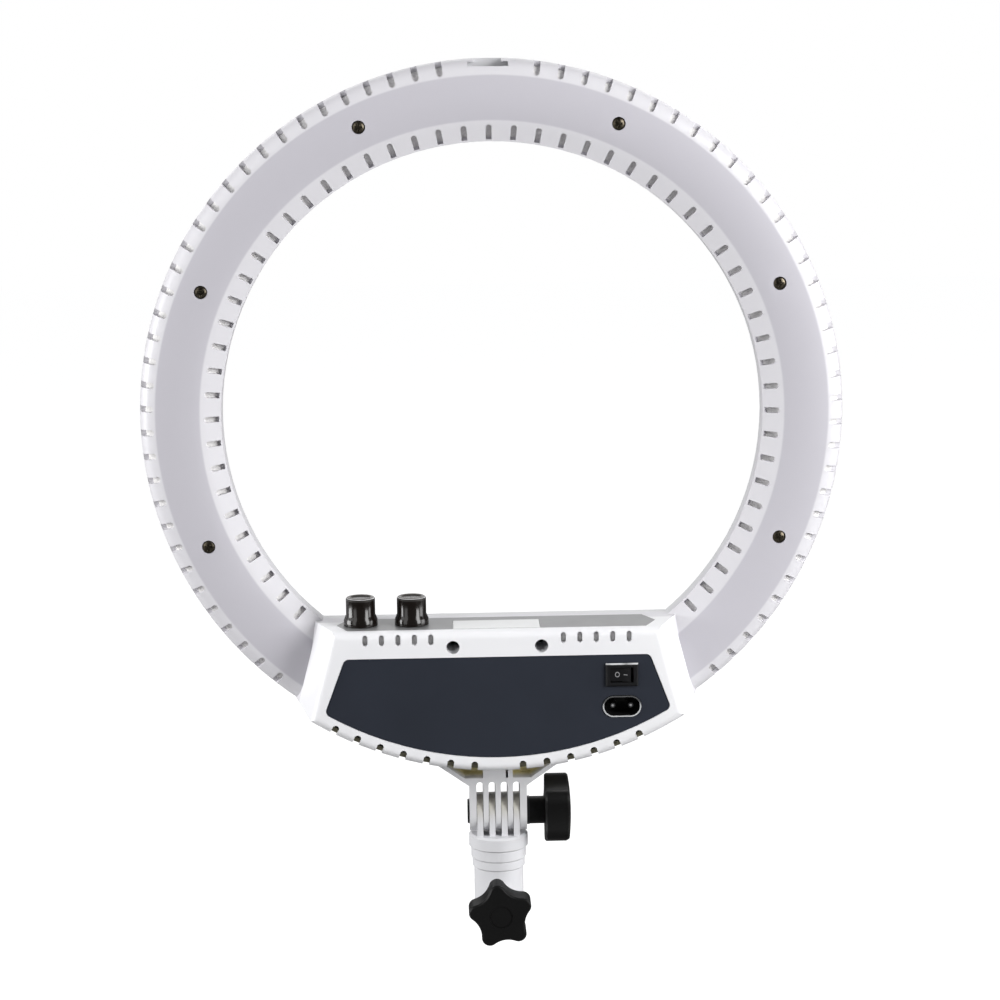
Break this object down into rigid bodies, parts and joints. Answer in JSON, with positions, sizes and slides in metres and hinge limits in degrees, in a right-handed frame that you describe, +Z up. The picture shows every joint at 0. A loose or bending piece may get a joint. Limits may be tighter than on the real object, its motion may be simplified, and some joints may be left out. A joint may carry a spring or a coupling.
{
  "type": "led ring light",
  "caption": "White LED ring light with vented rear housing, moulded control box, dials, power inlet and a tilting finger hinge on a stand socket clamped by a star knob.",
  "frame": {"origin": "centre of the stand socket's mouth", "axes": "+Z up along the stand bore, +Y the way the light leaves, +X to the right as seen from the rear"},
  "size_m": [0.3368, 0.0576, 0.4215],
  "materials": {
    "white_shell": "satin moulded white",
    "diffuser": "translucent opal",
    "board_white": "white solder mask",
    "led_warm": "yellow phosphor",
    "led_cool": "pale phosphor",
    "dark_panel": "dark slate film",
    "grey_strip": "grey satin film",
    "display_window": "clear over a pale display",
    "display": "pale display",
    "black_plastic": "satin black",
    "black_knob": "fine grained black",
    "dial_black": "polished black",
    "dial_metal": "turned and polished",
    "board_green": "green solder mask",
    "steel": "plain",
    "black_screw": "black oxide",
    "brass": "plain",
    "pad_rubber": "matte black"
  },
  "bodies": {
    "socket": {"stand_socket": "white_shell", "clamp_nut": "brass"},
    "head": {"rear_cover": "white_shell", "front_housing": "white_shell", "diffuser": "diffuser", "led_board": "board_white", "warm_leds": "led_warm", "cool_leds": "led_cool", "rear_panel": "dark_panel", "control_strip": "grey_strip", "lcd_window": "display_window", "lcd_module": "display", "switch_body": "black_plastic", "ac_inlet": "black_plastic", "inlet_pins": "steel", "power_supply_board": "board_green", "control_board": "board_green", "left_pot": "steel", "right_pot": "steel", "case_screws": "black_screw", "box_screws": "black_screw", "hinge_bolt": "black_screw"},
    "washer": {"tilt_washer": "black_screw"},
    "tilt_knob": {"tilt_knob": "black_knob", "tilt_knob_insert": "brass", "tilt_knob_cap": "black_knob"},
    "pad": {"clamp_pad": "pad_rubber"},
    "clamp_knob": {"clamp_knob": "black_knob", "clamp_screw": "steel", "clamp_knob_cap": "black_knob"},
    "left_dial": {"left_dial": "dial_black", "left_dial_cap": "dial_metal", "left_dial_shaft": "steel"},
    "right_dial": {"right_dial": "dial_black", "right_dial_cap": "dial_metal", "right_dial_shaft": "steel"},
    "rocker": {"power_rocker": "black_plastic"}
  },
  "joints": [
    {"name": "head_tilt", "type": "hinge", "parent": "socket", "child": "head", "pos_m": [0, 0, 0.053], "axis": [1, 0, 0], "range_deg": [-90, 65]},
    {"name": "tilt_washer_slide", "type": "slide", "parent": "head", "child": "washer", "axis": [1, 0, 0], "range_m": [0, 0.002]},
    {"name": "tilt_knob_turn", "type": "hinge", "parent": "washer", "child": "tilt_knob", "pos_m": [0.025, 0, 0.053], "axis": [1, 0, 0], "range_deg": [0, 720]},
    {"name": "clamp_pad_slide", "type": "slide", "parent": "socket", "child": "pad", "axis": [0, 1, 0], "range_m": [0, 0.002]},
    {"name": "clamp_knob_turn", "type": "hinge", "parent": "pad", "child": "clamp_knob", "pos_m": [0, -0.03, 0.0112], "axis": [0, 1, 0], "range_deg": [0, 720]},
    {"name": "left_dial_turn", "type": "hinge", "parent": "head", "child": "left_dial", "pos_m": [-0.0648, -0.018, 0.158], "axis": [0, 0, 1], "range_deg": [-150, 150]},
    {"name": "right_dial_turn", "type": "hinge", "parent": "head", "child": "right_dial", "pos_m": [-0.0404, -0.018, 0.158], "axis": [0, 0, 1], "range_deg": [-150, 150]},
    {"name": "power_rocker_turn", "type": "hinge", "parent": "head", "child": "rocker", "pos_m": [0.059, -0.033, 0.1284], "axis": [0, 0, 1], "range_deg": [0, 24]}
  ],
  "couplings": [
    {"joint": "tilt_knob_turn", "follows": "tilt_washer_slide", "rad_per_m": 6283.2},
    {"joint": "clamp_knob_turn", "follows": "clamp_pad_slide", "rad_per_m": 6283.2}
  ]
}
